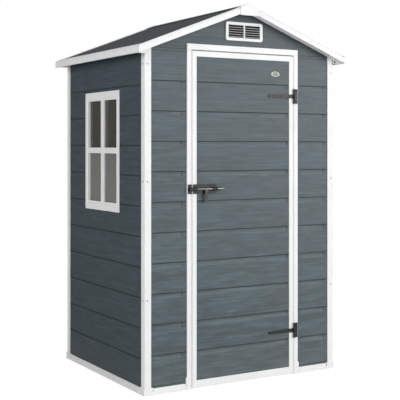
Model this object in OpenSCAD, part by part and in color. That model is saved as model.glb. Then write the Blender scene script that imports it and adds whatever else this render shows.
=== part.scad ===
// Resin garden shed: moulded plank walls between white corner angles, a gabled roof
// edged with white channels, one outward-opening door and one four-light window.
// Millimetres. The origin is on the ground under the middle of the shed.
// +X runs right along the front, +Y runs to the back, +Z is up.

/* [Body] */
// Width over the faces of the corner posts
body_w = 1190; // [1000:10:1600]
// Depth over the faces of the corner posts
body_d = 992; // [850:10:1400]
// Height of the roof's edge at the eaves
eave_h = 1747; // [1650:1:1900]
// Height of the ridge covers above that edge
roof_rise = 253; // [220:1:400]

/* [Base] */
// Height of the base rails that the walls stand on
rail_h = 32; // [28:1:60]
// Height of the plinth step on the rails
plinth_h = 17; // [10:1:24]
// How far the plinth stands proud of the posts
plinth_out = 4; // [2:1:10]
// Height of the foot collar above the rails
foot_collar_h = 6; // [3:1:20]
// Width of a corner foot
foot_w = 44; // [42:1:70]
// Height of the floor's surface
floor_h = 24; // [18:1:28]
// Space between the boards of the floor
floor_pitch = 117; // [80:1:200]
// Width of the clip slot at each end of a rail
clip_w = 7; // [4:0.5:12]
// Height of the clip slot
clip_h = 4; // [3:0.5:8]
// Depth of the clip slot behind the posts' face
clip_d = 8; // [4:1:16]

/* [Walls] */
// Thickness of a wall panel
wall_t = 20; // [16:1:30]
// How far the siding lies behind the posts
siding_inset = 5; // [3:0.5:8]
// Height of one board of siding
board_h = 153.8; // [100:0.1:200]
// Height of the lowest joint on the front and back, less one board
front_course_z = 41; // [40:1:80]
// Height of the lowest joint on the sides, less one board
side_course_z = 21; // [10:1:60]
// Height of the slot between two boards
slot_h = 4.5; // [2:0.5:6]
// Depth of the slot
slot_d = 5; // [3:0.5:8]
// Bevel of the board's edge at the slot
board_bevel = 1.5; // [1:0.5:3]
// Height of the sunk lip on the other side of the slot
lip_h = 9; // [4:1:30]
// Depth of the lip
lip_d = 3; // [1:0.5:4]
// Height of the slope from the lip to the board's face
lip_slope = 16; // [3:1:30]
// Flat margin beside posts and door frame
margin = 26; // [20:1:60]
// Depth of the slot in those margins
margin_slot_d = 3; // [1:0.5:4]
// Height of the seam under a gable panel
seam_h = 3; // [1:0.5:5]
// Height of the ribs inside the walls, one behind each joint
rib_h = 34; // [24:1:60]
// Depth of the pockets between those ribs
pocket_d = 6; // [3:0.5:10]

/* [Corner posts] */
// Width of a post's flange
post_w = 37; // [30:1:60]
// Radius of a post's outer corner
post_r = 4; // [1:0.5:4.5]

/* [Door] */
// Width of the door leaf
leaf_w = 640; // [520:10:700]
// Distance of the leaf's top below the roof's edge
leaf_drop = 8; // [6:1:60]
// Height of the leaf's bottom above the ground
leaf_rise = 5; // [5:1:12]
// Thickness of the leaf's white edging
leaf_t = 20; // [18:1:26]
// Running gap round the leaf
leaf_gap = 5; // [4:0.5:8]
// Width of the upright edging
stile_w = 27; // [24:1:60]
// Height of the top edging
top_edge_h = 29; // [20:1:60]
// Height of the bottom edging
bottom_edge_h = 37; // [30:1:60]
// How far the panel lies behind the edging
panel_inset = 3; // [2:0.5:5]
// Thickness of the door panel
panel_t = 15; // [10:1:16]
// Bevel along the front edges of the leaf and the door frame
frame_bevel = 1.5; // [0.5:0.5:3]

/* [Door frame] */
// Width of the jambs
jamb_w = 25.5; // [20:0.5:50]
// Height of the header
header_h = 31; // [24:1:50]
// Height of the sill on the floor
sill_h = 12; // [8:1:20]
// Depth of the sill
sill_d = 30; // [20:1:60]
// Height of the jambs' feet
jamb_foot_h = 66; // [50:1:120]
// How far those feet widen the jambs
jamb_foot_out = 6; // [2:0.5:10]
// Gap between the left rail and the foot of its jamb
rail_gap = 2.5; // [1:0.5:6]
// How far the frame stands proud of the posts
frame_out = 1; // [0:0.5:4]
// How far the stop covers the edge of the leaf
stop_lap = 8; // [6:1:20]
// Thickness of the stop
stop_t = 7; // [5:1:12]

/* [Hinges] */
// Distance of the upper hinge's middle below the leaf's top
upper_hinge_drop = 219; // [100:1:400]
// Distance of the lower hinge's middle above the leaf's bottom
lower_hinge_rise = 235; // [100:1:400]
// Length of the strap from the pin
strap_len = 166; // [120:1:260]
// Height of the strap at the knuckle
strap_h = 23; // [18:1:40]
// Height of the strap near its tip
strap_tip_h = 13; // [8:1:16]
// Thickness of the strap and plates
hinge_t = 2.5; // [2:0.5:4]
// Height of the jamb plate
plate_h = 80; // [70:1:140]
// Width of the jamb plate from the pin
plate_w = 24; // [20:1:28]
// Radius of the knuckles
knuckle_r = 5.5; // [5:0.5:8]
// Radius of the hinge pin
pin_r = 2.5; // [2:0.25:3.5]

/* [Pad bolt] */
// Height of the bolt's middle
bolt_z = 1027; // [900:5:1200]
// Length of the bolt's plate
bolt_plate_l = 139; // [130:1:180]
// Height of the bolt's plate and of the keep
bolt_plate_h = 49; // [40:1:70]
// Thickness of those plates
bolt_plate_t = 2.5; // [2:0.5:4]
// Distance of the plate from the leaf's edge
bolt_edge = 4; // [2:0.5:10]
// Width of the keep
keep_w = 22; // [16:1:23]
// Radius of the rod
rod_r = 6; // [4:0.5:8]
// Length of the rod
rod_l = 184; // [180:1:230]
// Space between the rod and the plate of the keep
rod_clear = 2; // [1:0.5:4]
// Wall of the loops that hold the rod
loop_t = 3.5; // [2.5:0.5:5]
// Width of the loop near the jamb
near_loop_w = 16; // [10:1:24]
// Distance of that loop from the end of the plate
near_loop_edge = 3; // [2:0.5:8]
// Width of the loop at the far end
far_loop_w = 28; // [16:1:34]
// Width of the hasp that hangs from the rod
hasp_w = 16; // [12:1:20]
// Length of the hasp below the rod
hasp_l = 66; // [50:1:90]
// Thickness of the hasp
hasp_t = 4; // [3:0.5:6]
// Radius of the padlock eye
eye_r = 4.5; // [3:0.5:5.5]
// Distance of the padlock eye below the rod
eye_drop = 36; // [20:1:44]
// How far the rod slides to lock
bolt_travel = 43; // [38:1:46]

/* [Window] */
// Width over the casing
window_w = 432; // [300:2:600]
// Height over the casing
window_h = 646; // [400:2:760]
// Distance of the casing's top below the roof's edge
window_drop = 203; // [60:1:400]
// Distance of the window behind the wall's middle
window_shift = 16; // [-60:1:60]
// Width of the casing's upright sides
casing_side_w = 34; // [24:1:80]
// Height of the casing's top and bottom
casing_w = 47; // [34:1:80]
// How far the casing stands proud of the siding
casing_t = 5; // [4:1:16]
// Width of the casing's stepped inner edge
casing_step_w = 12; // [8:1:20]
// Depth of that step
casing_step_d = 3; // [2:0.5:5]
// Width of the ledge that the pane lies against
pane_lap = 7; // [4:1:9]
// Depth of the pane behind the siding's face
pane_depth = 11; // [2:0.5:12]
// Thickness of the pane
pane_t = 3; // [2:0.5:6]

/* [Vent] */
// Width over the vent's frame
vent_w = 231; // [160:1:300]
// Height over the vent's frame
vent_h = 98; // [70:1:120]
// Distance of the vent above the door header
vent_rise = 30; // [20:1:36]
// Width of the vent's frame
vent_edge = 15; // [12:1:22]
// Radius of the frame's corners
vent_r = 13; // [6:1:16]
// How far the frame stands proud of the siding
vent_out = 7; // [4:1:12]
// Number of louvres
louvre_n = 5; // [3:1:7]
// Thickness of a louvre
louvre_t = 1.6; // [1.2:0.2:4]
// How far a louvre falls from its back to its front
louvre_fall = 1; // [0.5:0.5:3]
// How far the louvres lie behind the frame's face
louvre_inset = 1; // [0.5:0.5:3]
// Width of the bar between the two halves
vent_bar = 6; // [4:1:14]

/* [Roof] */
// Overhang beyond the posts at the sides
side_overhang = 55.5; // [40:0.5:90]
// Overhang beyond the posts at the gables
gable_overhang = 49; // [44:1:100]
// Thickness of a roof panel
roof_t = 18; // [14:1:26]
// Width of one board of the roof
roof_board = 156; // [100:1:200]
// Half the width of the ridge cap along the slope
ridge_cap_w = 52; // [40:1:90]
// Thickness of the ridge cap
ridge_cap_t = 3; // [2:0.5:3]

/* [Roof trims] */
// Thickness of the trims' plastic
trim_t = 3; // [2:0.5:5]
// Depth of the gable trims, square to the slope
rake_h = 34; // [28:1:70]
// Height of the eave trims' face
eave_trim_h = 36; // [28:1:60]
// Width of the trims' flange on the roof
trim_flange = 28; // [20:1:50]
// Width of the gable trims' flange below the roof
soffit_w = 45; // [20:1:46]
// Width of the eave trims' lip below the roof
eave_lip = 14; // [8:1:40]
// Width of the bevel along the trims' top edge
trim_bevel = 12; // [4:1:16]
// How far the gusset under each corner of the roof laps over the post beside it
gusset_lap = 3; // [1:0.5:10]
// Half the width of the ridge cover
cover_w = 56; // [40:1:90]
// Height of the ridge cover's face at its middle
cover_h = 65; // [60:1:100]
// Thickness of the ridge cover
cover_t = 2.5; // [2:0.5:5]
// Depth of the ridge cover over the roof
cover_flange = 34; // [24:1:60]

/* [Hidden] */
$fn = 48;
over = 1;            // how far cuts run past a face
min_strip = 0.25;    // narrowest strip of a board beside a panel's edge, as a share of it
pin_play = 0.06;     // radial clearance of hinge pins
rod_play = 0.4;      // radial clearance of the rod in its loops
seat_gap = 0.3;      // clearance of moving faces that pass each other
hasp_play = 3;       // space between the near loop and the hasp once the rod is shot
pad_edge = 1;        // how far the door's pads lie inside the hardware's edges
slope_gap = 0.2;     // clearance of faces that meet on the roof's slope

half_w = body_w / 2;
half_d = body_d / 2;
face_x = half_w - siding_inset;          // outer face of the side walls
face_y = half_d - siding_inset;          // outer face of the front and back walls
inner_x = face_x - wall_t;
inner_y = face_y - wall_t;

// roof: the trims' top plane falls from trim_peak to eave_h over half_span
half_span = half_w + side_overhang;
half_run = half_d + gable_overhang;
ridge_h = eave_h + roof_rise;
trim_peak = ridge_h - cover_t;           // the covers lie on the trims
slope = atan((trim_peak - eave_h) / half_span);
panel_drop = trim_t + slope_gap;         // roof panel lies under the trims' flange
panel_seat = trim_t + trim_bevel / 2;    // its edge stops behind the trims' bevel
corner_run = max(soffit_w, trim_flange); // length of the gable trims' end at the eave
gusset_x = half_w - gusset_lap;
under_drop = panel_drop + roof_t;        // underside of the roof panel
wall_drop = under_drop + slope_gap;      // walls and posts end just below it

// height of the line that lies drop below the trims' top plane, square to it
function roof_z(x, drop) = trim_peak - abs(x) * tan(slope) - drop / cos(slope);

// doorway
open_half = leaf_w / 2 + leaf_gap;
frame_half = open_half + jamb_w;
foot_half = frame_half + jamb_foot_out;
leaf_top = eave_h - leaf_drop;
header_z = leaf_top + leaf_gap;          // the gable panels stand on this line too
header_top = header_z + header_h;
leaf_face_y = -half_d;                   // outer face of the leaf's edging
panel_face_y = leaf_face_y + panel_inset;
stop_y = leaf_face_y + leaf_t + leaf_gap;
stop_x = open_half - leaf_gap - stop_lap;
frame_face_y = -half_d - frame_out;

// hinges: the pin stands just in front of the gap between leaf and jamb
hinge_x = leaf_w / 2 + leaf_gap / 2;
hinge_y = frame_face_y - knuckle_r - seat_gap;
upper_hinge_z = leaf_top - upper_hinge_drop;
lower_hinge_z = leaf_rise + lower_hinge_rise;

// pad bolt
plate_x0 = -leaf_w / 2 + bolt_edge;      // end of the bolt's plate near the jamb
plate_x1 = plate_x0 + bolt_plate_l;
keep_x1 = -open_half;                    // keep's edge at the doorway
rod_y = frame_face_y - bolt_plate_t - rod_r - rod_clear;
rod_rest_x = keep_x1 + leaf_gap;         // rod's tip, drawn back clear of the keep
near_loop_x = plate_x0 + near_loop_edge + near_loop_w / 2;
far_loop_x = plate_x1 - far_loop_w / 2;
hasp_x = near_loop_x + near_loop_w / 2 + bolt_travel + hasp_play + hasp_w / 2;
eye_z = bolt_z - rod_r - eye_drop;

// window
hole_w = window_w - 2 * casing_side_w + 2 * casing_step_w;
hole_h = window_h - 2 * casing_w + 2 * casing_step_w;
light_w = window_w - 2 * casing_side_w;
light_h = window_h - 2 * casing_w;
window_mid_z = eave_h - window_drop - window_h / 2;

// vent
louvre_h = vent_h - 2 * vent_edge;
louvre_w = vent_w - 2 * vent_edge;
vent_z = header_top + vent_rise + vent_h / 2;

resin_grey = [0.39, 0.43, 0.46];
roof_grey = [0.27, 0.29, 0.31];
resin_white = [0.94, 0.94, 0.94];
hardware_black = [0.12, 0.12, 0.12];
pane_grey = [0.45, 0.45, 0.43, 0.5];

// ---------- shared shapes ----------

// a profile drawn in Y and Z, run along X
module along_x(len) {
    rotate([90, 0, 90]) linear_extrude(height = len, center = true) children();
}

// a profile drawn in X and Z, run along Y
module along_y(len) {
    rotate([90, 0, 0]) linear_extrude(height = len, center = true) children();
}

// a wall is drawn as the front one, its outer face at Y = 0, and turned to its side
module to_front() { translate([0, -face_y, 0]) children(); }
module to_back() { rotate([0, 0, 180]) translate([0, -face_y, 0]) children(); }
module to_left() { rotate([0, 0, -90]) translate([0, -face_x, 0]) children(); }
module to_right() { rotate([0, 0, 90]) translate([0, -face_x, 0]) children(); }

// section of the joint between two boards: a slot, and a sunk lip on the board below it
module joint_section() {
    lip_z = -slot_h / 2 - lip_h;
    polygon([
        [-over, slot_h / 2 + board_bevel], [0, slot_h / 2 + board_bevel],
        [board_bevel, slot_h / 2], [slot_d, slot_h / 4], [slot_d, -slot_h / 2],
        [lip_d, -slot_h / 2], [lip_d, lip_z], [0, lip_z - lip_slope], [-over, lip_z - lip_slope]
    ]);
}

// shallow slot that carries the joint on across a margin
module margin_section() {
    polygon([
        [-over, slot_h / 2], [0, slot_h / 2], [margin_slot_d, slot_h / 4],
        [margin_slot_d, -slot_h / 4], [0, -slot_h / 2], [-over, -slot_h / 2]
    ]);
}

// joints at every board height between two levels, from x0 to x1, with a margin at each end
module board_joints(x0, x1, low, high, course_z, side_margin) {
    first = ceil((low - course_z) / board_h + min_strip);
    last = floor((high - course_z) / board_h - min_strip);
    for (k = [first : 1 : last])
        translate([(x0 + x1) / 2, 0, course_z + k * board_h]) {
            along_x(x1 - x0 - 2 * side_margin) joint_section();
            along_x(x1 - x0) margin_section();
        }
}

// pockets in the inner face between the ribs behind the joints, from x0 to x1
module rib_pockets(x0, x1, low, high, course_z, depth) {
    first = floor((low - course_z) / board_h);
    last = ceil((high - course_z) / board_h);
    for (k = [first : 1 : last - 1]) {
        bottom = max(low + rib_h / 2, course_z + k * board_h + rib_h / 2);
        top = min(high - rib_h / 2, course_z + (k + 1) * board_h - rib_h / 2);
        if (top - bottom > rib_h)
            translate([x0, depth - pocket_d, bottom]) cube([x1 - x0, pocket_d + over, top - bottom]);
    }
}

// block whose front face, at Y = 0, has bevelled edges; centred in X, standing on Z = 0
module bevelled_block(w, t, h, bevel) {
    intersection() {
        translate([0, 0, h / 2]) along_x(w + 2 * over) polygon([
            [0, bevel - h / 2], [bevel, -h / 2], [t + over, -h / 2],
            [t + over, h / 2], [bevel, h / 2], [0, h / 2 - bevel]
        ]);
        translate([0, 0, -over]) linear_extrude(height = h + 2 * over) polygon([
            [bevel - w / 2, 0], [w / 2 - bevel, 0], [w / 2, bevel],
            [w / 2, t], [-w / 2, t], [-w / 2, bevel]
        ]);
    }
}

// cutter for an opening of that size whose front edges are bevelled
module bevelled_hole(w, t, h, bevel) {
    wide = bevel + over;
    intersection() {
        translate([0, 0, h / 2]) along_x(w + 2 * wide) polygon([
            [-over, -h / 2 - wide], [bevel, -h / 2], [t + over, -h / 2],
            [t + over, h / 2], [bevel, h / 2], [-over, h / 2 + wide]
        ]);
        translate([0, 0, -wide]) linear_extrude(height = h + 2 * wide) polygon([
            [-w / 2 - wide, -over], [w / 2 + wide, -over], [w / 2, bevel],
            [w / 2, t + over], [-w / 2, t + over], [-w / 2, bevel]
        ]);
    }
}

// everything below the roof panels, as a prism along Y
module below_roof(len) {
    along_y(len) polygon([
        [-half_span, 0], [half_span, 0], [half_span, roof_z(half_span, wall_drop)],
        [0, roof_z(0, wall_drop)], [-half_span, roof_z(half_span, wall_drop)]
    ]);
}

// ---------- base ----------

// rail: plinth step, sloping ledge and bevelled top, run along X behind the post face,
// with a clip slot at each end that is named
module rail(x0, x1, slots) {
    depth = siding_inset + wall_t;
    difference() {
        translate([(x0 + x1) / 2, 0, 0]) along_x(x1 - x0) polygon([
            [-plinth_out, 0], [depth, 0], [depth, rail_h], [siding_inset - 1, rail_h],
            [0, rail_h - siding_inset], [0, plinth_h + plinth_out], [-plinth_out, plinth_h]
        ]);
        for (x = slots)
            translate([x, 0, plinth_h + plinth_out / 2])
                cube([2 * clip_w, 2 * clip_d, clip_h], center = true);
    }
}

// on the right of the door the rail meets the jamb's foot, on the left a gap is left
module base_rail_front_left() {
    x0 = foot_w - half_w;
    color(resin_white) translate([0, -half_d, 0]) rail(x0, -foot_half - rail_gap, [x0]);
}

module base_rail_front_right() {
    x1 = half_w - foot_w;
    color(resin_white) translate([0, -half_d, 0]) rail(foot_half, x1, [x1]);
}

module side_rail() {
    x1 = half_d - foot_w;
    color(resin_white) translate([0, -half_w, 0]) rail(-x1, x1, [-x1, x1]);
}

module base_rail_back() {
    x1 = half_w - foot_w;
    color(resin_white) rotate([0, 0, 180]) translate([0, -half_d, 0]) rail(-x1, x1, [-x1, x1]);
}

// ramped sill on the floor, behind the foot of the leaf
module door_threshold() {
    color(resin_white) translate([0, stop_y, floor_h]) along_x(2 * stop_x) polygon([
        [0, 0], [sill_d, 0], [sill_d, sill_h / 6], [stop_t, sill_h], [0, sill_h]
    ]);
}

// floor: one moulded tray with shallow joints between its boards; its front edge comes
// to the back of the door
module floor_panel() {
    boards = floor(inner_y / floor_pitch);
    color(roof_grey) difference() {
        linear_extrude(height = floor_h) polygon([
            [-inner_x, -inner_y], [-open_half, -inner_y], [-open_half, stop_y],
            [open_half, stop_y], [open_half, -inner_y], [inner_x, -inner_y],
            [inner_x, inner_y], [-inner_x, inner_y]
        ]);
        for (k = [-boards : 1 : boards])
            translate([0, k * floor_pitch, floor_h]) rotate([-90, 0, 0])
                along_x(2 * (inner_x - margin)) margin_section();
    }
}

// ---------- corner posts ----------

// outline of a post's angle, out from the corner of the walls
module angle_outline(out, width) {
    r = min(post_r + out, siding_inset + out - 0.5);
    difference() {
        translate([-half_w - out, -half_d - out]) union() {
            translate([r, 0]) square([width + out - r, width + out]);
            translate([0, r]) square([width + out, width + out - r]);
            translate([r, r]) circle(r);
        }
        translate([-face_x, -face_y]) square(width + siding_inset);
    }
}

// a corner angle on a foot that the rails butt against
module corner_post() {
    color(resin_white) {
        intersection() {
            translate([0, 0, rail_h]) linear_extrude(height = ridge_h)
                angle_outline(0, post_w);
            below_roof(2 * half_run);
        }
        translate([0, 0, rail_h]) linear_extrude(height = foot_collar_h)
            angle_outline(plinth_out, foot_w);
        translate([-half_w - plinth_out, -half_d - plinth_out, 0]) difference() {
            cube([foot_w + plinth_out, foot_w + plinth_out, rail_h]);
            translate([plinth_out + siding_inset + wall_t, plinth_out + siding_inset + wall_t, -over])
                cube([foot_w, foot_w, rail_h + 2 * over]);
        }
    }
}

module corner_post_front_left() { corner_post(); }
module corner_post_front_right() { mirror([1, 0, 0]) corner_post(); }
module corner_post_back_left() { mirror([0, 1, 0]) corner_post(); }
module corner_post_back_right() { rotate([0, 0, 180]) corner_post(); }

// ---------- walls ----------

// front panel beside the doorway, drawn on the left
module front_side_wall() {
    x0 = -face_x;
    x1 = -frame_half;
    color(resin_grey) to_front() difference() {
        intersection() {
            translate([x0, 0, rail_h]) cube([x1 - x0, wall_t, header_z - rail_h]);
            below_roof(4 * wall_t);
        }
        board_joints(x0 + post_w - siding_inset, x1, rail_h, header_z, front_course_z, margin);
        rib_pockets(x0 + wall_t + rib_h, x1 - rib_h, rail_h, header_z, front_course_z, wall_t);
    }
}

// gable panel with a fine seam along its foot, and a hole behind its vent
module gable_panel() {
    difference() {
        intersection() {
            translate([-face_x, 0, header_z]) cube([2 * face_x, wall_t, ridge_h]);
            below_roof(4 * wall_t);
        }
        translate([0, 0, header_z]) cube([2 * body_w, 2 * margin_slot_d, 2 * seam_h], center = true);
        translate([-louvre_w / 2, -over, vent_z - louvre_h / 2])
            cube([louvre_w, wall_t + 2 * over, louvre_h]);
    }
}

// the front one is cut out for the door header
module front_gable() {
    color(resin_grey) to_front() difference() {
        gable_panel();
        translate([-frame_half, -over, header_z - over])
            cube([2 * frame_half, wall_t + 2 * over, header_h + over]);
    }
}

module back_wall() {
    x1 = face_x - post_w + siding_inset;
    color(resin_grey) to_back() difference() {
        intersection() {
            translate([-face_x, 0, rail_h]) cube([2 * face_x, wall_t, header_z - rail_h]);
            below_roof(4 * wall_t);
        }
        board_joints(-x1, x1, rail_h, header_z, front_course_z, margin);
        rib_pockets(-inner_x + rib_h, inner_x - rib_h, rail_h, header_z, front_course_z, wall_t);
    }
}

// side wall between the front and back walls, its top cut to the roof's slope; its
// boards are the same ones the other way up
module side_wall() {
    top_out = roof_z(face_x, wall_drop);
    top_in = roof_z(inner_x, wall_drop);
    end = half_d - post_w;
    pocket_end = inner_y - rib_h;
    difference() {
        along_x(2 * inner_y) polygon([
            [0, rail_h], [wall_t, rail_h], [wall_t, top_in], [0, top_out]
        ]);
        mirror([0, 0, 1]) board_joints(-end, end, -top_out, -rail_h, -side_course_z, 0);
        rib_pockets(-pocket_end, pocket_end, rail_h, top_out, side_course_z, wall_t);
    }
}

// left wall: full thickness round the window, and a hole for the window's lining
module left_wall() {
    color(resin_grey) to_left() difference() {
        union() {
            side_wall();
            translate([-window_shift, wall_t - pocket_d / 2, window_mid_z]) along_y(pocket_d)
                square([hole_w + rib_h, hole_h + rib_h], center = true);
        }
        translate([-window_shift, wall_t / 2, window_mid_z]) along_y(wall_t + 2 * over)
            square([hole_w, hole_h], center = true);
    }
}

module right_wall() {
    color(resin_grey) to_right() side_wall();
}

// ---------- door frame ----------

// jamb on the left: bar beside the leaf on a widened foot that laps over the siding, with
// a stop behind the leaf
module jamb() {
    bar_d = frame_out + siding_inset + wall_t;
    color(resin_white) {
        translate([-frame_half + jamb_w / 2, frame_face_y, 0])
            bevelled_block(jamb_w, bar_d, header_z, frame_bevel);
        difference() {
            translate([0, frame_face_y + bar_d / 2, 0]) along_y(bar_d) polygon([
                [-foot_half, 0], [-open_half - jamb_w / 2, 0],
                [-open_half - jamb_w / 2, jamb_foot_h], [-frame_half, jamb_foot_h],
                [-foot_half, jamb_foot_h - jamb_foot_out]
            ]);
            translate([-foot_half - over, -face_y, rail_h])
                cube([jamb_foot_out + over, wall_t + over, jamb_foot_h]);
        }
        translate([-frame_half, -inner_y, floor_h])
            cube([jamb_w, stop_y + stop_t + inner_y, header_z - floor_h]);
        translate([-frame_half, stop_y, floor_h])
            cube([frame_half - stop_x, stop_t, header_z - floor_h]);
    }
}

// header: bar over the leaf, its stop hanging between those of the jambs
module door_header() {
    stop_z = header_z - leaf_gap - stop_lap;
    color(resin_white) {
        translate([0, frame_face_y, header_z])
            bevelled_block(2 * frame_half, stop_y + stop_t - frame_face_y, header_h, frame_bevel);
        translate([-stop_x, stop_y, stop_z]) cube([2 * stop_x, stop_t, header_top - stop_z]);
    }
}

// ---------- door ----------

module door_edging() {
    height = leaf_top - leaf_rise;
    color(resin_white) translate([0, leaf_face_y, leaf_rise]) difference() {
        bevelled_block(leaf_w, leaf_t, height, frame_bevel);
        translate([0, 0, bottom_edge_h])
            bevelled_hole(leaf_w - 2 * stile_w, leaf_t, height - top_edge_h - bottom_edge_h, frame_bevel);
    }
}

// grooved panel held in the edging, with flush pads behind the hardware
module door_panel() {
    width = leaf_w - 2 * stile_w;
    low = leaf_rise + bottom_edge_h;
    high = leaf_top - top_edge_h;
    color(resin_grey) {
        translate([0, panel_face_y, 0]) difference() {
            translate([-width / 2, 0, low]) cube([width, panel_t, high - low]);
            board_joints(-width / 2, width / 2, low, high, front_course_z, margin / 2);
        }
        translate([-width / 2, leaf_face_y, bolt_z - bolt_plate_h / 2 + pad_edge])
            cube([plate_x1 - pad_edge + width / 2, panel_inset, bolt_plate_h - 2 * pad_edge]);
        for (z = [upper_hinge_z, lower_hinge_z])
            translate([hinge_x - strap_len + strap_tip_h, leaf_face_y, z - strap_tip_h / 2 + pad_edge])
                cube([width / 2 - hinge_x + strap_len - strap_tip_h, panel_inset,
                    strap_tip_h - 2 * pad_edge]);
    }
}

// ---------- hinges ----------

// jamb plate with a long knuckle above and below the strap's, and the pin through all
// three, drawn round the pin at the origin
module hinge_plate() {
    back = frame_face_y - hinge_y;
    notch = strap_h / 2 + seat_gap;
    knuckle_h = plate_h / 2 - notch;
    translate([knuckle_r + seat_gap, back - hinge_t, -plate_h / 2])
        cube([plate_w - knuckle_r - seat_gap, hinge_t, plate_h]);
    for (side = [-1, 1])
        translate([0, 0, side * (notch + knuckle_h / 2)]) {
            cylinder(r = knuckle_r, h = knuckle_h, center = true);
            translate([0, back - hinge_t, -knuckle_h / 2]) cube([plate_w / 2, hinge_t, knuckle_h]);
        }
    cylinder(r = pin_r, h = plate_h, center = true);
}

module hinge_plates() {
    color(hardware_black) for (z = [upper_hinge_z, lower_hinge_z])
        translate([hinge_x, hinge_y, z]) hinge_plate();
}

// tapered strap with a round tip, bored for the pin
module hinge_strap() {
    back = leaf_face_y - hinge_y;
    tip_r = strap_tip_h / 2;
    difference() {
        union() {
            cylinder(r = knuckle_r, h = strap_h, center = true);
            translate([0, back - hinge_t / 2, 0]) along_y(hinge_t) union() {
                polygon([
                    [0, strap_h / 2], [0, -strap_h / 2],
                    [tip_r - strap_len, -tip_r], [tip_r - strap_len, tip_r]
                ]);
                translate([tip_r - strap_len, 0]) circle(tip_r);
            }
        }
        cylinder(r = pin_r + pin_play, h = strap_h + 2 * over, center = true);
    }
}

module hinge_straps() {
    color(hardware_black) for (z = [upper_hinge_z, lower_hinge_z])
        translate([hinge_x, hinge_y, z]) hinge_strap();
}

// ---------- pad bolt ----------

// raised loop round the rod, its foot on the plane at Y = 0
module rod_loop(width, bore_r) {
    drop = frame_face_y - rod_y;
    r = rod_r + loop_t;
    translate([0, -drop, 0]) rotate([0, 90, 0]) difference() {
        union() {
            cylinder(r = r, h = width, center = true);
            translate([-r, 0, -width / 2]) cube([2 * r, drop, width]);
        }
        cylinder(r = bore_r, h = width + 2 * over, center = true);
    }
}

module bolt_keep() {
    color(hardware_black) translate([keep_x1 - keep_w / 2, frame_face_y, bolt_z]) {
        translate([-keep_w / 2, -bolt_plate_t, -bolt_plate_h / 2])
            cube([keep_w, bolt_plate_t, bolt_plate_h]);
        rod_loop(near_loop_w, rod_r + rod_play);
    }
}

module bolt_plate() {
    seat = leaf_face_y - frame_face_y;
    color(hardware_black) translate([0, frame_face_y, bolt_z]) {
        translate([plate_x0, seat - bolt_plate_t, -bolt_plate_h / 2])
            cube([bolt_plate_l, bolt_plate_t, bolt_plate_h]);
        translate([near_loop_x, 0, 0]) rod_loop(near_loop_w, rod_r + rod_play);
        translate([far_loop_x, 0, 0]) rod_loop(far_loop_w, rod_r + rod_play);
    }
}

// rod with a rounded tip, and the hasp that hangs from it in front of the plate
module bolt_rod() {
    color(hardware_black) translate([0, rod_y, 0]) {
        translate([rod_rest_x + rod_r / 2, 0, bolt_z]) rotate([0, 90, 0])
            cylinder(r = rod_r, h = rod_l - rod_r / 2);
        translate([rod_rest_x, 0, bolt_z]) rotate([0, 90, 0])
            cylinder(r1 = rod_r * 0.7, r2 = rod_r, h = rod_r / 2);
        translate([hasp_x, 0, 0]) difference() {
            along_y(hasp_t) union() {
                translate([-hasp_w / 2, bolt_z - hasp_l - rod_r + hasp_w / 2])
                    square([hasp_w, hasp_l + rod_r - hasp_w / 2]);
                translate([0, bolt_z - hasp_l - rod_r + hasp_w / 2]) circle(hasp_w / 2);
            }
            translate([0, 0, eye_z]) rotate([90, 0, 0])
                cylinder(r = eye_r, h = hasp_t + 2 * over, center = true);
        }
    }
}

// ---------- window ----------

// casing on the siding with a stepped inner edge, and a lining through the wall
module window_casing() {
    lining_lap = casing_t - casing_step_d;
    color(resin_white) to_left() translate([-window_shift, 0, window_mid_z]) difference() {
        union() {
            translate([0, -casing_t, -window_h / 2])
                bevelled_block(window_w, casing_t, window_h, frame_bevel);
            translate([0, (wall_t - lining_lap) / 2, 0]) along_y(wall_t + lining_lap)
                square([hole_w, hole_h], center = true);
        }
        along_y(4 * wall_t) square([light_w, light_h], center = true);
        translate([0, -casing_t, -hole_h / 2])
            bevelled_hole(hole_w, casing_step_d - over, hole_h, frame_bevel);
        translate([0, pane_depth + wall_t, 0]) along_y(2 * wall_t)
            square([light_w + 2 * pane_lap, light_h + 2 * pane_lap], center = true);
    }
}

module window_pane() {
    color(pane_grey) to_left() translate([-window_shift, pane_depth + pane_t / 2, window_mid_z])
        along_y(pane_t) square([light_w + 2 * pane_lap, light_h + 2 * pane_lap], center = true);
}

// ---------- vents ----------

module rounded_rect(w, h, r) {
    union() {
        square([w - 2 * r, h], center = true);
        square([w, h - 2 * r], center = true);
        for (sx = [-1, 1], sz = [-1, 1])
            translate([sx * (w / 2 - r), sz * (h / 2 - r)]) circle(r);
    }
}

// framed grille with sloping louvres on each side of a middle bar
module vent() {
    pitch = louvre_h / (louvre_n + 0.5);
    front = louvre_inset - vent_out;
    color(resin_white) translate([0, 0, vent_z]) {
        difference() {
            translate([0, -vent_out / 2, 0]) along_y(vent_out) rounded_rect(vent_w, vent_h, vent_r);
            translate([0, -vent_out / 2, 0]) along_y(vent_out + 2 * over)
                square([louvre_w, louvre_h], center = true);
        }
        translate([0, -vent_out / 2, 0]) along_y(vent_out)
            square([vent_bar, louvre_h + over], center = true);
        for (k = [0 : louvre_n - 1])
            translate([0, 0, (k + 0.5) * pitch - louvre_h / 2])
                along_x(louvre_w + over) polygon([
                    [front, -(louvre_t + louvre_fall) / 2], [front, (louvre_t - louvre_fall) / 2],
                    [-louvre_inset, (louvre_t + louvre_fall) / 2],
                    [-louvre_inset, (louvre_fall - louvre_t) / 2]
                ]);
    }
}

// ---------- roof ----------

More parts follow.
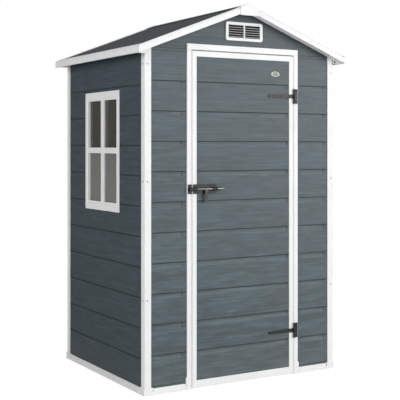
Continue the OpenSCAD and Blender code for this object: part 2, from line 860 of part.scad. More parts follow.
// roof panel on the left: from the ridge to the eave, with joints down its slope
module roof_panel() {
    edge = half_span - panel_seat;
    run = 2 * (half_run - panel_seat);
    boards = floor(half_run / roof_board);
    color(roof_grey) difference() {
        along_y(run) polygon([
            [0, roof_z(0, panel_drop)], [0, roof_z(0, under_drop)],
            [-edge, roof_z(edge, under_drop)], [-edge, roof_z(edge, panel_drop)]
        ]);
        for (k = [-boards : 1 : boards - 1])
            translate([-half_span / 2, (k + 0.5) * roof_board, roof_z(half_span / 2, panel_drop)])
                rotate([0, -slope, 0]) rotate([-90, 0, 0])
                    along_x(half_span / cos(slope) - 2 * ridge_cap_w - trim_flange) margin_section();
    }
}

// folded strip over the joint of the panels, flush with the trims' flanges
module ridge_cap() {
    w = ridge_cap_w * cos(slope);
    top = trim_t - ridge_cap_t;
    color(roof_grey) along_y(2 * (half_run - trim_flange)) polygon([
        [-w, roof_z(w, trim_t)], [-w, roof_z(w, top)], [0, roof_z(0, top)],
        [w, roof_z(w, top)], [w, roof_z(w, trim_t)], [0, roof_z(0, trim_t)]
    ]);
}

// ---------- roof trims ----------

// section of the eave channel on the left: flange on the roof, bevelled face, lip below
module eave_section() {
    bottom = eave_h - eave_trim_h;
    flange_x = half_span - trim_flange;
    bevel_x = half_span - trim_bevel / 2;
    seat_x = half_span - panel_seat;
    polygon([
        [-flange_x, roof_z(flange_x, 0)], [-flange_x, roof_z(flange_x, trim_t)],
        [-seat_x, roof_z(seat_x, trim_t)], [trim_t - half_span, eave_h - trim_bevel - trim_t],
        [trim_t - half_span, bottom + trim_t], [eave_lip - half_span, bottom + trim_t],
        [eave_lip - half_span, bottom], [-half_span, bottom], [-half_span, eave_h - trim_bevel],
        [-bevel_x, roof_z(bevel_x, 0)]
    ]);
}

module eave_trim() {
    color(resin_white) along_y(2 * (half_run - corner_run)) eave_section();
}

// section of the gable channel: flange on the roof, bevelled face, soffit below.
// Drawn across the slope, X outwards from the wall and Y up square to the roof.
module rake_section() {
    polygon([
        [-trim_flange, 0], [-trim_bevel / 2, 0], [0, -trim_bevel], [0, -rake_h],
        [-soffit_w, -rake_h], [-soffit_w, trim_t - rake_h], [-trim_t, trim_t - rake_h],
        [-trim_t, -trim_bevel - trim_t], [-panel_seat, -trim_t], [-trim_flange, -trim_t]
    ]);
}

// gable channel on the front left: cut upright at the ridge and level at the eave,
// where its end turns the corner, carries on as the eave's section and is closed below by
// a gusset in front of the post
module rake_trim() {
    len = half_span / cos(slope);
    color(resin_white) {
        intersection() {
            translate([0, -half_run, trim_peak]) rotate([0, -slope, 0])
                translate([-len / 2, 0, 0]) rotate([90, 0, 90]) mirror([1, 0, 0])
                    linear_extrude(height = len * 2, center = true) rake_section();
            translate([-half_span, -half_run, eave_h - eave_trim_h])
                cube([half_span, corner_run, ridge_h]);
        }
        translate([0, corner_run / 2 - half_run, 0]) along_y(corner_run) eave_section();
        translate([0, soffit_w - trim_t / 2 - half_run, 0]) along_y(trim_t) polygon([
            [-gusset_x, eave_h - eave_trim_h], [-gusset_x, roof_z(gusset_x, rake_h - trim_t / 2)],
            [trim_t / 2 - half_span, roof_z(half_span, rake_h - trim_t / 2)],
            [trim_t / 2 - half_span, eave_h - eave_trim_h]
        ]);
    }
}

// ridge cover: face over the meeting channels, and a flange over the roof's peak
module ridge_cover() {
    drop = cover_w * tan(slope);
    color(resin_white) {
        translate([0, -half_run - cover_t / 2, 0]) along_y(cover_t) polygon([
            [0, ridge_h], [-cover_w, ridge_h - drop], [-cover_w, ridge_h - cover_h],
            [cover_w, ridge_h - cover_h], [cover_w, ridge_h - drop]
        ]);
        translate([0, -half_run + cover_flange / 2, 0]) along_y(cover_flange) polygon([
            [0, ridge_h], [-cover_w, ridge_h - drop], [-cover_w, ridge_h - drop - cover_t],
            [0, trim_peak], [cover_w, ridge_h - drop - cover_t], [cover_w, ridge_h - drop]
        ]);
    }
}

floor_panel();
base_rail_front_left();
base_rail_front_right();
rotate([0, 0, -90]) side_rail();  // base_rail_left
rotate([0, 0, 90]) side_rail();  // base_rail_right
base_rail_back();
door_threshold();
corner_post_front_left();
corner_post_front_right();
corner_post_back_left();
corner_post_back_right();
front_side_wall();  // front_wall_left
mirror([1, 0, 0]) front_side_wall();  // front_wall_right
front_gable();
left_wall();
right_wall();
back_wall();
color(resin_grey) to_back() gable_panel();  // back_gable
jamb();  // door_jamb_left
mirror([1, 0, 0]) jamb();  // door_jamb_right
door_header();
window_casing();
window_pane();
to_front() vent();  // front_vent
to_back() vent();  // back_vent
roof_panel();  // roof_panel_left
mirror([1, 0, 0]) roof_panel();  // roof_panel_right
ridge_cap();
eave_trim();  // eave_trim_left
mirror([1, 0, 0]) eave_trim();  // eave_trim_right
rake_trim();  // rake_trim_front_left
mirror([1, 0, 0]) rake_trim();  // rake_trim_front_right
mirror([0, 1, 0]) rake_trim();  // rake_trim_back_left
rotate([0, 0, 180]) rake_trim();  // rake_trim_back_right
ridge_cover();  // ridge_cover_front
mirror([0, 1, 0]) ridge_cover();  // ridge_cover_back
hinge_plates();
bolt_keep();
door_edging();
door_panel();
hinge_straps();
bolt_plate();
bolt_rod();
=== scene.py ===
"""Resin garden shed: finishes, screws, jamb lips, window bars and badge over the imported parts.

Metres, in the parts' own frame: origin on the ground, +X right, +Y back, +Z up.
"""
import math

import bmesh
import bpy
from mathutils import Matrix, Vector


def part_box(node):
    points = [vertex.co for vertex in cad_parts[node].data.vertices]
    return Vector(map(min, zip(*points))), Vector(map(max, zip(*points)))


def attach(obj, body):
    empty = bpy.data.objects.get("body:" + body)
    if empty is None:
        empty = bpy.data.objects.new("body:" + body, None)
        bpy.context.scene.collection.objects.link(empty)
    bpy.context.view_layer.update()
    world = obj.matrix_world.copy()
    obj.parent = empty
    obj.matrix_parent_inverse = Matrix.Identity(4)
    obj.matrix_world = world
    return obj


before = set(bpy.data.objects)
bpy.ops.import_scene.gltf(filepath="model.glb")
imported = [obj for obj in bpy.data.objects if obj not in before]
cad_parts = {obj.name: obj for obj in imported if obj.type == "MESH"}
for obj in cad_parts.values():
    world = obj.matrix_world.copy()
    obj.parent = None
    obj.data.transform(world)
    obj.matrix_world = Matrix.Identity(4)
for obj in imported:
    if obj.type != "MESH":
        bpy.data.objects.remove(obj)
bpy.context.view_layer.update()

# ---------- Studio ----------
# A pale floor that runs out into a white background. The world fills from all round,
# least from the back left. One large soft lamp stands to the front right and a weaker one
# to the left.


def add(tree, kind, sockets=None, **settings):
    """A new node with its settings, and its inputs set or linked by name or number."""
    node = tree.nodes.new(kind)
    for name, value in settings.items():
        setattr(node, name, value)
    for key, value in (sockets or {}).items():
        if isinstance(value, bpy.types.NodeSocket):
            tree.links.new(value, node.inputs[key])
        else:
            node.inputs[key].default_value = value
    return node


def calc(tree, operation, *values):
    """The result of a Math node."""
    return add(tree, "ShaderNodeMath", dict(enumerate(values)), operation=operation).outputs[0]


scene = bpy.context.scene
scene.view_settings.view_transform = "Standard"

studio = bpy.data.worlds.new("studio")
scene.world = studio
studio.use_nodes = True
sky = studio.node_tree
sky.nodes.clear()
bright_side = (0.72, -0.62, 0.30)
toward = add(sky, "ShaderNodeTexCoord").outputs["Generated"]
facing = add(sky, "ShaderNodeVectorMath", {0: toward, 1: bright_side}, operation="DOT_PRODUCT")
fill = add(sky, "ShaderNodeMapRange", {
    "Value": facing.outputs["Value"], "From Min": -0.9, "From Max": 0.9,
    "To Min": 0.02, "To Max": 0.68,
})
ray = add(sky, "ShaderNodeLightPath").outputs
mirrored = calc(sky, "ADD", ray["Is Glossy Ray"], ray["Is Transmission Ray"])
sees_white = calc(sky, "MULTIPLY_ADD", mirrored, 0.10, ray["Is Camera Ray"])
dim = add(sky, "ShaderNodeBackground", {"Color": (0.98, 0.99, 1, 1), "Strength": fill.outputs[0]})
white = add(sky, "ShaderNodeBackground", {"Color": (1, 1, 1, 1), "Strength": 1.0})
backdrop = add(sky, "ShaderNodeMixShader", {0: sees_white, 1: dim.outputs[0], 2: white.outputs[0]})
add(sky, "ShaderNodeOutputWorld", {"Surface": backdrop.outputs[0]})

camera = bpy.data.objects.new("camera", bpy.data.cameras.new("camera"))
scene.collection.objects.link(camera)
scene.camera = camera
camera.location = (-2.7565, -4.6889, 1.2484)
camera.rotation_euler = (math.radians(90), 0, math.radians(-30.63))
camera.data.sensor_width = 36
camera.data.lens = 85
camera.data.shift_y = -0.1348

for name, location, width, height, power in (
    ("front_right_lamp", (7.6, -8.6, 3.7), 7.2, 7.8, 775),
    ("left_lamp", (-5.6, -2.4, 3.3), 3.5, 3.5, 186),
):
    lamp = bpy.data.objects.new(name, bpy.data.lights.new(name, "AREA"))
    scene.collection.objects.link(lamp)
    lamp.data.shape = "RECTANGLE"
    lamp.data.size, lamp.data.size_y = width, height
    lamp.data.energy = power
    lamp.location = location
    lamp.rotation_euler = (Vector((0, 0, 1)) - lamp.location).to_track_quat("-Z", "Y").to_euler()

floor_half = 20
floor_z = -0.001
floor_mesh = bpy.data.meshes.new("floor")
floor_mesh.from_pydata(
    [(x * floor_half, y * floor_half, floor_z) for x, y in ((-1, -1), (1, -1), (1, 1), (-1, 1))],
    [], [(0, 1, 2, 3)],
)
floor = bpy.data.objects.new("floor", floor_mesh)
scene.collection.objects.link(floor)
pale = bpy.data.materials.new("studio_floor")
pale.use_nodes = True
tree = pale.node_tree
tree.nodes.clear()
lit = add(tree, "ShaderNodeBsdfDiffuse", {"Color": (0.8, 0.8, 0.8, 1)})
soft = add(tree, "ShaderNodeBsdfDiffuse", {"Color": (0.22, 0.22, 0.22, 1)})
glow = add(tree, "ShaderNodeEmission", {"Color": (1, 1, 1, 1), "Strength": 0.9})
shown = add(tree, "ShaderNodeAddShader", {0: soft.outputs[0], 1: glow.outputs[0]})
ray = add(tree, "ShaderNodeLightPath").outputs
sees_glow = calc(tree, "MULTIPLY_ADD", ray["Is Glossy Ray"], 0.6, ray["Is Camera Ray"])
mixed = add(tree, "ShaderNodeMixShader", {0: sees_glow, 1: lit.outputs[0], 2: shown.outputs[0]})
add(tree, "ShaderNodeOutputMaterial", {"Surface": mixed.outputs[0]})
floor_mesh.materials.append(pale)

# ---------- Base ----------
# White rails with a plinth step, the sill behind the door and the grey floor tray. All
# are injection-moulded resin: a satin skin with a fine texture, a little dusty low down.


def shader_group(name, inputs, outputs):
    """An empty shader group, and the sockets inside it that its inputs and outputs give."""
    group = bpy.data.node_groups.new(name, "ShaderNodeTree")
    for label, kind, value in inputs:
        group.interface.new_socket(label, in_out="INPUT", socket_type=kind).default_value = value
    for label, kind in outputs:
        group.interface.new_socket(label, in_out="OUTPUT", socket_type=kind)
    return group, add(group, "NodeGroupInput").outputs, add(group, "NodeGroupOutput").inputs


def use_group(tree, group, **values):
    """Places a shader group in a tree, with its inputs set or linked."""
    sockets = {name.replace("_", " "): value for name, value in values.items()}
    return add(tree, "ShaderNodeGroup", sockets, node_tree=group).outputs


def noise(tree, at, scale, detail=2.0, roughness=0.5, distortion=0.0):
    """The height of a noise texture, 0 to 1."""
    return add(tree, "ShaderNodeTexNoise", {
        "Vector": at, "Scale": scale, "Detail": detail, "Roughness": roughness,
        "Distortion": distortion,
    }).outputs[0]


def scaled(tree, at, by):
    """A position stretched by a factor for each axis."""
    return add(tree, "ShaderNodeVectorMath", {0: at, 1: by}, operation="MULTIPLY").outputs[0]


def remap(tree, value, low, high, to_low=0.0, to_high=1.0):
    """A value's range spread smoothly over another."""
    return add(tree, "ShaderNodeMapRange", {
        "Value": value, "From Min": low, "From Max": high, "To Min": to_low, "To Max": to_high,
    }, interpolation_type="SMOOTHSTEP").outputs[0]


def blend(tree, factor, low, high):
    """A colour between two, each a socket or three levels."""
    low, high = (
        end if isinstance(end, bpy.types.NodeSocket) else (*end, 1) for end in (low, high)
    )
    return add(tree, "ShaderNodeMix", {0: factor, 6: low, 7: high}, data_type="RGBA").outputs[2]


def new_finish(name):
    """A material, its tree, its shader and the position on the piece."""
    material = bpy.data.materials.new(name)
    material.use_nodes = True
    tree = material.node_tree
    at = add(tree, "ShaderNodeTexCoord").outputs["Object"]
    return material, tree, tree.nodes["Principled BSDF"], at


def bump(tree, shader, height, strength, distance):
    """Relief of that depth on a shader."""
    node = add(tree, "ShaderNodeBump", {
        "Height": height, "Strength": strength, "Distance": distance,
    })
    tree.links.new(node.outputs[0], shader.inputs["Normal"])


def dress(material, *nodes):
    """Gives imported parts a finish."""
    for name in nodes:
        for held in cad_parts[name].material_slots:
            held.material = material


# the skin that a textured steel mould leaves on resin, and the shade of slow cooling
moulded_skin, given, out = shader_group(
    "moulded_skin",
    [("Vector", "NodeSocketVector", (0, 0, 0)), ("Fineness", "NodeSocketFloat", 900.0)],
    [("Height", "NodeSocketFloat"), ("Tone", "NodeSocketFloat")],
)
orange_peel = noise(moulded_skin, given["Vector"], given["Fineness"], 1.0)
cloud = noise(moulded_skin, given["Vector"], 7.0, 3.0)
moulded_skin.links.new(orange_peel, out["Height"])
moulded_skin.links.new(remap(moulded_skin, cloud, 0.3, 0.7), out["Tone"])

# dust splashed up from the ground, thin and patchy
ground_dust, given, out = shader_group(
    "ground_dust",
    [("Vector", "NodeSocketVector", (0, 0, 0)), ("Reach", "NodeSocketFloat", 0.12)],
    [("Mask", "NodeSocketFloat")],
)
level = add(ground_dust, "ShaderNodeSeparateXYZ", {0: given["Vector"]}).outputs["Z"]
fade = calc(ground_dust, "DIVIDE", level, given["Reach"])
patches = noise(ground_dust, given["Vector"], 60.0, 4.0, 0.65)
low_part = remap(ground_dust, fade, 0.0, 1.0, 1.0, 0.0)
ground_dust.links.new(calc(ground_dust, "MULTIPLY", low_part, patches), out["Mask"])


def white_resin(name, roughness):
    """White resin of the frames and trims."""
    material, tree, shader, at = new_finish(name)
    skin = use_group(tree, moulded_skin, Vector=at, Fineness=700.0)
    dusty = use_group(tree, ground_dust, Vector=at, Reach=0.10)["Mask"]
    clean = blend(tree, skin["Tone"], (0.82, 0.82, 0.82), (0.79, 0.79, 0.79))
    thin = calc(tree, "MULTIPLY", dusty, 0.10)
    tree.links.new(blend(tree, thin, clean, (0.55, 0.52, 0.47)), shader.inputs["Base Color"])
    dull = calc(tree, "MULTIPLY_ADD", skin["Tone"], 0.10, roughness)
    tree.links.new(dull, shader.inputs["Roughness"])
    bump(tree, shader, skin["Height"], 0.25, 0.0002)
    return material


satin_white = white_resin("satin_white_resin", 0.36)
dress(
    satin_white, "base_rail_front_left", "base_rail_front_right", "base_rail_left",
    "base_rail_right", "base_rail_back", "door_threshold",
)

# wood figure as it is cut into the moulds: growth rings, streaks and fibres that run along
# X, different on every board, with the boards stacked along Z. Two masks come with it: a
# thin band along each joint for painted shade, and lighter streaks that gather under each
# joint, part dry-brushed tone and part painted highlight
board_h = 0.1538
moulded_grain, given, out = shader_group(
    "moulded_grain",
    [
        ("Vector", "NodeSocketVector", (0, 0, 0)),
        ("Board", "NodeSocketFloat", board_h),
        ("First joint", "NodeSocketFloat", 0.0),
        ("Seed", "NodeSocketFloat", 0.0),
    ],
    [
        ("Height", "NodeSocketFloat"), ("Tone", "NodeSocketFloat"),
        ("Brushed and sheen", "NodeSocketFloat"), ("Row", "NodeSocketFloat"), ("Joint", "NodeSocketFloat"),
    ],
)
tree = moulded_grain
place = add(tree, "ShaderNodeSeparateXYZ", {0: given["Vector"]}).outputs
risen = calc(tree, "SUBTRACT", place["Z"], given["First joint"])
row = calc(tree, "FLOOR", calc(tree, "DIVIDE", risen, given["Board"]))
key = calc(tree, "MULTIPLY_ADD", given["Seed"], 17.0, row)
pick = add(tree, "ShaderNodeTexWhiteNoise", {"W": key}, noise_dimensions="1D").outputs
jump = scaled(tree, pick["Color"], (9.0, 3.0, 5.0))
board_at = add(tree, "ShaderNodeVectorMath", {0: given["Vector"], 1: jump}).outputs[0]
lean = noise(tree, scaled(tree, board_at, (1.7, 1, 4.5)), 1.0, 2.0, 0.45)
knot = add(tree, "ShaderNodeTexVoronoi", {
    "Vector": scaled(tree, board_at, (2.1, 0, 6.5)), "Scale": 1.0,
}, distance="EUCLIDEAN").outputs["Distance"]
swelling = remap(tree, knot, 0.0, 0.36, 1.0, 0.0)
core = remap(tree, knot, 0.02, 0.10, 1.0, 0.0)
risen_at = add(tree, "ShaderNodeSeparateXYZ", {0: board_at}).outputs["Z"]
lines = calc(tree, "MULTIPLY", risen_at, 62.0)
lines = calc(tree, "MULTIPLY_ADD", lean, 5.5, lines)
lines = calc(tree, "MULTIPLY_ADD", calc(tree, "POWER", swelling, 2.0), 3.2, lines)
rings = calc(tree, "SINE", calc(tree, "MULTIPLY", lines, 2 * math.pi))
rings = calc(tree, "MULTIPLY_ADD", rings, 0.5, 0.5)
where_rings = noise(tree, scaled(tree, board_at, (2, 1, 9)), 1.0)
shown = remap(tree, where_rings, 0.5, 0.7)
rings = calc(tree, "MULTIPLY", rings, calc(tree, "MAXIMUM", shown, swelling))
streak = noise(tree, scaled(tree, board_at, (5.0, 1, 100)), 1.0, 4.0, 0.62, 0.2)
fibre = noise(tree, scaled(tree, board_at, (22, 1, 620)), 1.0, 2.0)
brushed = noise(tree, scaled(tree, board_at, (7, 1, 36)), 1.0, 3.0, 0.62, 0.35)
relief = calc(tree, "MULTIPLY_ADD", rings, 0.12, calc(tree, "MULTIPLY", streak, 0.45))
relief = calc(tree, "MULTIPLY_ADD", fibre, 0.25, relief)
tone = calc(tree, "MULTIPLY_ADD", rings, 0.07, calc(tree, "MULTIPLY", streak, 0.50))
tone = calc(tree, "MULTIPLY_ADD", brushed, 0.60, tone)
tone = calc(tree, "MULTIPLY_ADD", core, -0.25, tone)
from_joint = calc(tree, "PINGPONG", risen, calc(tree, "MULTIPLY", given["Board"], 0.5))
tree.links.new(relief, out["Height"])
tree.links.new(remap(tree, tone, 0.38, 0.78), out["Tone"])
up_board = calc(tree, "SUBTRACT", calc(tree, "DIVIDE", risen, given["Board"]), row)
# painted highlight: the lighter streaks grow towards the top of each board, just under the joint
top_edge_sheen = remap(tree, up_board, 0.72, 0.97, 0.35, 1.0)
brushed_and_sheen = calc(tree, "MULTIPLY", remap(tree, streak, 0.54, 0.68), top_edge_sheen)
tree.links.new(brushed_and_sheen, out["Brushed and sheen"])
# a thin band along each joint, where the boards take painted shade
tree.links.new(remap(tree, from_joint, 0.002, 0.004, 1.0, 0.0), out["Joint"])
tree.links.new(pick["Value"], out["Row"])


def grey_boards(
    name, colour, board, first_joint, turn=(0, 0, 0), seed=0.0, shine=0.4, figure=1.0
):
    """Grey resin moulded as boards that run along X, or along X of the turned position."""
    material, tree, shader, at = new_finish(name)
    along = add(tree, "ShaderNodeMapping", {"Vector": at, "Rotation": turn}).outputs[0]
    grain = use_group(
        tree, moulded_grain, Vector=along, Board=board, First_joint=first_joint, Seed=seed
    )
    skin = use_group(tree, moulded_skin, Vector=at, Fineness=500.0)
    dusty = use_group(tree, ground_dust, Vector=at, Reach=0.25)["Mask"]
    spread = (1 - 0.30 * figure, 1 + 0.28 * figure, 1 + 0.8 * figure)
    # the lighter colour of the streaks: part dry-brushed tone, part painted highlight under the
    # joints
    dark, light, lightened = ([level * share for level in colour] for share in spread)
    # painted shade in the slots: a third of the board colour laid along each joint
    painted_slot_shade = [level * 0.3 for level in colour]
    dust = (0.30, 0.28, 0.25)
    board_colour = blend(tree, grain["Tone"], dark, light)
    for mask, share, over in (
        (grain["Brushed and sheen"], 0.5, lightened), (grain["Row"], 0.10, dark), (dusty, 0.12, dust),
        (grain["Joint"], 0.7 * figure, painted_slot_shade),
    ):
        board_colour = blend(tree, calc(tree, "MULTIPLY", mask, share), board_colour, over)
    tree.links.new(board_colour, shader.inputs["Base Color"])
    dull = calc(tree, "MULTIPLY_ADD", grain["Tone"], 0.10, 0.46)
    tree.links.new(dull, shader.inputs["Roughness"])
    shader.inputs["Specular IOR Level"].default_value = shine
    height = calc(tree, "MULTIPLY_ADD", skin["Height"], 0.06, grain["Height"])
    bump(tree, shader, height, 0.45, 0.0012)
    return material


roof_colour = (0.048, 0.061, 0.067)
flat_turn = (math.radians(90), 0, 0)
floor_board = 0.117
dress(grey_boards("floor_resin", roof_colour, floor_board, 0.0, flat_turn, 5.0), "floor_panel")

# ---------- Corner posts ----------
# White resin angles that cover the meeting edges of two walls, each on its own foot. Zinc-
# plated pan-head screws hold the front and back flanges, and the side flanges in front.
dress(
    satin_white, "corner_post_front_left", "corner_post_front_right",
    "corner_post_back_left", "corner_post_back_right",
)

screw_r = 0.0048
screw_levels = (0.475, 1.070, 1.660)
front_flange_in = 0.016
side_flange_in = 0.020
foot_step = 0.004
head_sides = 24


def screw_head():
    """Pan head of radius 1 that faces +Z, with a cross recess."""
    around = [2 * math.pi * k / head_sides for k in range(head_sides)]
    cross = [0.30 + 0.25 * abs(math.cos(2 * a)) ** 3 for a in around]
    rings = [
        *(([r] * head_sides, z) for r, z in ((1.0, -0.20), (1.0, 0.14), (0.90, 0.34), (0.66, 0.47))),
        (cross, 0.50), ([0.9 * c for c in cross], 0.12),
    ]
    shape = bmesh.new()
    loops = [
        [shape.verts.new((r * math.cos(a), r * math.sin(a), z)) for r, a in zip(radii, around)]
        for radii, z in rings
    ]
    for low, high in zip(loops, loops[1:]):
        for k in range(head_sides):
            side = shape.faces.new((low[k - 1], low[k], high[k], high[k - 1]))
            side.smooth = low in loops[1:3]
    shape.faces.new(loops[0][::-1])
    shape.faces.new(loops[-1])
    mesh = bpy.data.meshes.new("screw_head")
    shape.to_mesh(mesh)
    shape.free()
    return bpy.data.objects.new("screw_head", mesh)


def geometry_tree(name, inputs):
    """An empty Geometry Nodes tree with a geometry going in and out, and its named inputs."""
    tree = bpy.data.node_groups.new(name, "GeometryNodeTree")
    tree.interface.new_socket("Geometry", in_out="INPUT", socket_type="NodeSocketGeometry")
    for label, kind in inputs:
        tree.interface.new_socket(label, in_out="INPUT", socket_type=kind)
    tree.interface.new_socket("Geometry", in_out="OUTPUT", socket_type="NodeSocketGeometry")
    return tree, add(tree, "NodeGroupInput").outputs


def close_tree(tree, shape, finish):
    """Realizes the instances and sets the finish, as the last two nodes."""
    real = add(tree, "GeometryNodeRealizeInstances", {0: shape})
    faced = add(tree, "GeometryNodeSetMaterial", {0: real.outputs[0], "Material": finish})
    add(tree, "NodeGroupOutput", {0: faced.outputs[0]})


def run_tree(tree, start, values, name, body):
    """The plain mesh that a tree makes of a starting mesh, as a piece that rides on a body."""
    carrier = bpy.data.objects.new(name + "_start", start)
    scene.collection.objects.link(carrier)
    modifier = carrier.modifiers.new("tree", "NODES")
    modifier.node_group = tree
    for socket in tree.interface.items_tree:
        if socket.in_out == "INPUT" and socket.name in values:
            modifier[socket.identifier] = values[socket.name]
    depsgraph = bpy.context.evaluated_depsgraph_get()
    mesh = bpy.data.meshes.new_from_object(carrier.evaluated_get(depsgraph), depsgraph=depsgraph)
    carrier.modifiers.remove(modifier)
    bpy.data.objects.remove(carrier)
    mesh.name = name
    piece = bpy.data.objects.new(name, mesh)
    scene.collection.objects.link(piece)
    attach(piece, body)


# one head on every vertex, facing along its "facing" and turned at random as driven home
screw_tree, given = geometry_tree("screws", [
    ("Head", "NodeSocketObject"), ("Head radius", "NodeSocketFloat"),
    ("Turn seed", "NodeSocketInt"), ("Finish", "NodeSocketMaterial"),
])
head = add(screw_tree, "GeometryNodeObjectInfo", {"Object": given["Head"]}).outputs["Geometry"]
outward = add(
    screw_tree, "GeometryNodeInputNamedAttribute", {"Name": "facing"}, data_type="FLOAT_VECTOR"
).outputs[0]
upright = add(screw_tree, "FunctionNodeAlignRotationToVector", {"Vector": outward}, axis="Z")
turned = add(screw_tree, "FunctionNodeRandomValue", {
    "Min": (0, 0, 0), "Max": (0, 0, 2 * math.pi), "Seed": given["Turn seed"],
}, data_type="FLOAT_VECTOR")
driven = add(screw_tree, "FunctionNodeRotateRotation", {
    "Rotation": upright.outputs[0], "Rotate By": turned.outputs[0],
}, rotation_space="LOCAL")
heads = add(screw_tree, "GeometryNodeInstanceOnPoints", {
    "Points": given["Geometry"], "Instance": head, "Rotation": driven.outputs[0],
    "Scale": given["Head radius"],
})
close_tree(screw_tree, heads.outputs[0], given["Finish"])


def drive_screws(name, body, finish, radius, places):
    """Screw heads at places, each a point on a surface and the way that the surface faces."""
    start = bpy.data.meshes.new(name + "_places")
    start.from_pydata([point for point, _ in places], [], [])
    facing = start.attributes.new("facing", "FLOAT_VECTOR", "POINT")
    for item, (_, way) in zip(facing.data, places):
        item.vector = way
    head = screw_head()
    values = {"Head": head, "Head radius": radius, "Turn seed": 7, "Finish": finish}
    run_tree(screw_tree, start, values, name, body)
    bpy.data.objects.remove(head)


def plated_steel(name, colour, roughness):
    """Plated or bare steel, slightly clouded."""
    material, tree, shader, at = new_finish(name)
    skin = use_group(tree, moulded_skin, Vector=at, Fineness=2500.0)
    shader.inputs["Metallic"].default_value = 1.0
    dark = [level * 0.8 for level in colour]
    tree.links.new(blend(tree, skin["Tone"], colour, dark), shader.inputs["Base Color"])
    dull = calc(tree, "MULTIPLY_ADD", skin["Height"], 0.12, roughness)
    tree.links.new(dull, shader.inputs["Roughness"])
    bump(tree, shader, skin["Height"], 0.15, 0.0001)
    return material


zinc = plated_steel("zinc_plate", (0.52, 0.52, 0.50), 0.32)
post_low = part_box("corner_post_front_left")[0]
half_w = -post_low.x - foot_step
half_d = -post_low.y - foot_step
post_screws = []
for z in screw_levels:
    for sx in (-1, 1):
        for sy in (-1, 1):
            post_screws.append(((sx * (half_w - front_flange_in), sy * half_d, z), (0, sy, 0)))
        post_screws.append(((sx * half_w, side_flange_in - half_d, z), (sx, 0, 0)))
drive_screws("post_screws", "root", zinc, screw_r, post_screws)

# places of the base rails' screws, which are driven with the hinges'
rail_screw_in = 0.041
rail_screw_z = 0.0235
rail_screws = []
for sx in (-1, 1):
    for sy in (-1, 1):
        in_x, in_y = sx * (half_w - rail_screw_in), sy * (half_d - rail_screw_in)
        rail_screws.append(((in_x, sy * half_d, rail_screw_z), (0, sy, 0)))
        rail_screws.append(((sx * half_w, in_y, rail_screw_z), (sx, 0, 0)))

# ---------- Walls ----------
# Grey resin panels moulded as boards with a slot and a sunk lip at each joint, in a wood
# grain that was dry-brushed lighter, with painted highlight under each joint and painted
# shade in the slots. The side walls and the gables are painted darker than the front, as
# painted shade. Each gable is one panel without joints.
front_joint_z = 0.041
side_joint_z = 0.021
gable_foot_z = 1.744
# a board taller than the gable, so that no joint shows on it
gable_board_h = 0.40
wall_colour = (0.070, 0.097, 0.108)
# painted shade: the side walls take a darker copy of the front boards' resin
shaded_side_colour = (0.064, 0.083, 0.093)
# painted shade: the gables are the walls' resin, darkened as if under the roof's overhang
shaded_gable_colour = [level * 0.86 for level in wall_colour]
side_turn = (0, 0, math.radians(90))
front_boards = grey_boards("front_wall_boards", wall_colour, board_h, front_joint_z, seed=1.0)
side_boards = grey_boards(
    "side_wall_boards", shaded_side_colour, board_h, side_joint_z, side_turn, 2.0, shine=0.02, figure=0.5
)
gable_board = grey_boards("gable_board", shaded_gable_colour, gable_board_h, gable_foot_z, seed=3.0)
dress(front_boards, "front_wall_left", "front_wall_right", "back_wall")
dress(side_boards, "left_wall", "right_wall")
dress(gable_board, "front_gable", "back_gable")

# ---------- Door frame ----------
# Two white resin jambs on widened feet and the header, screwed to the walls from inside,
# with a stop behind the leaf all round. A thin lip on each jamb closes the gap at the leaf.
dress(satin_white, "door_jamb_left", "door_jamb_right", "door_header")

lip_in = 0.0030
lip_thick = 0.0030
lip_wide = 0.0034
lip_root = -0.0003
lip_foot_z = 0.002
leaf_gap = 0.005
leaf_low, leaf_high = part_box("door_edging")
jamb_face_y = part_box("door_jamb_left")[0].y
y0, y1 = jamb_face_y + lip_in, jamb_face_y + lip_in + lip_thick
# the lip's outline: out from the jamb, round the eased corner, and back
section = [
    (lip_root, y0), (lip_wide - 0.0010, y0), (lip_wide - 0.0003, y0 + 0.0004),
    (lip_wide, y0 + 0.0011), (lip_wide, y1), (lip_root, y1),
]
shape = bmesh.new()
for edge_x, side in ((leaf_low.x - leaf_gap, 1), (leaf_high.x + leaf_gap, -1)):
    ends = [
        [shape.verts.new((edge_x + side * x, y, z)) for x, y in section]
        for z in (lip_foot_z, leaf_high.z + leaf_gap)
    ]
    for k in range(len(section)):
        shape.faces.new((ends[0][k - 1], ends[0][k], ends[1][k], ends[1][k - 1]))
    shape.faces.new(ends[0])
    shape.faces.new(ends[1])
bmesh.ops.recalc_face_normals(shape, faces=shape.faces)
lip_mesh = bpy.data.meshes.new("jamb_lips")
shape.to_mesh(lip_mesh)
shape.free()
lips = bpy.data.objects.new("jamb_lips", lip_mesh)
scene.collection.objects.link(lips)
lip_mesh.materials.append(satin_white)
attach(lips, "root")

# ---------- Door leaf ----------
# White resin edging round one grey board panel. The panel has its own mould, so its grain
# differs from the walls'.
dress(satin_white, "door_edging")
door_boards = grey_boards("door_boards", wall_colour, board_h, front_joint_z, seed=4.0)
dress(door_boards, "door_panel")

# ---------- Badge ----------
# A small oval plate glued to the top board of the door: cast zinc, enamelled cream, with a
# raised rim round a bare field.
badge_at = (0.202, 1.638)
badge_half = (0.0270, 0.0140)
badge_sides = 72
pad_proud = 0.003
panel_face_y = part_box("door_panel")[0].y + pad_proud


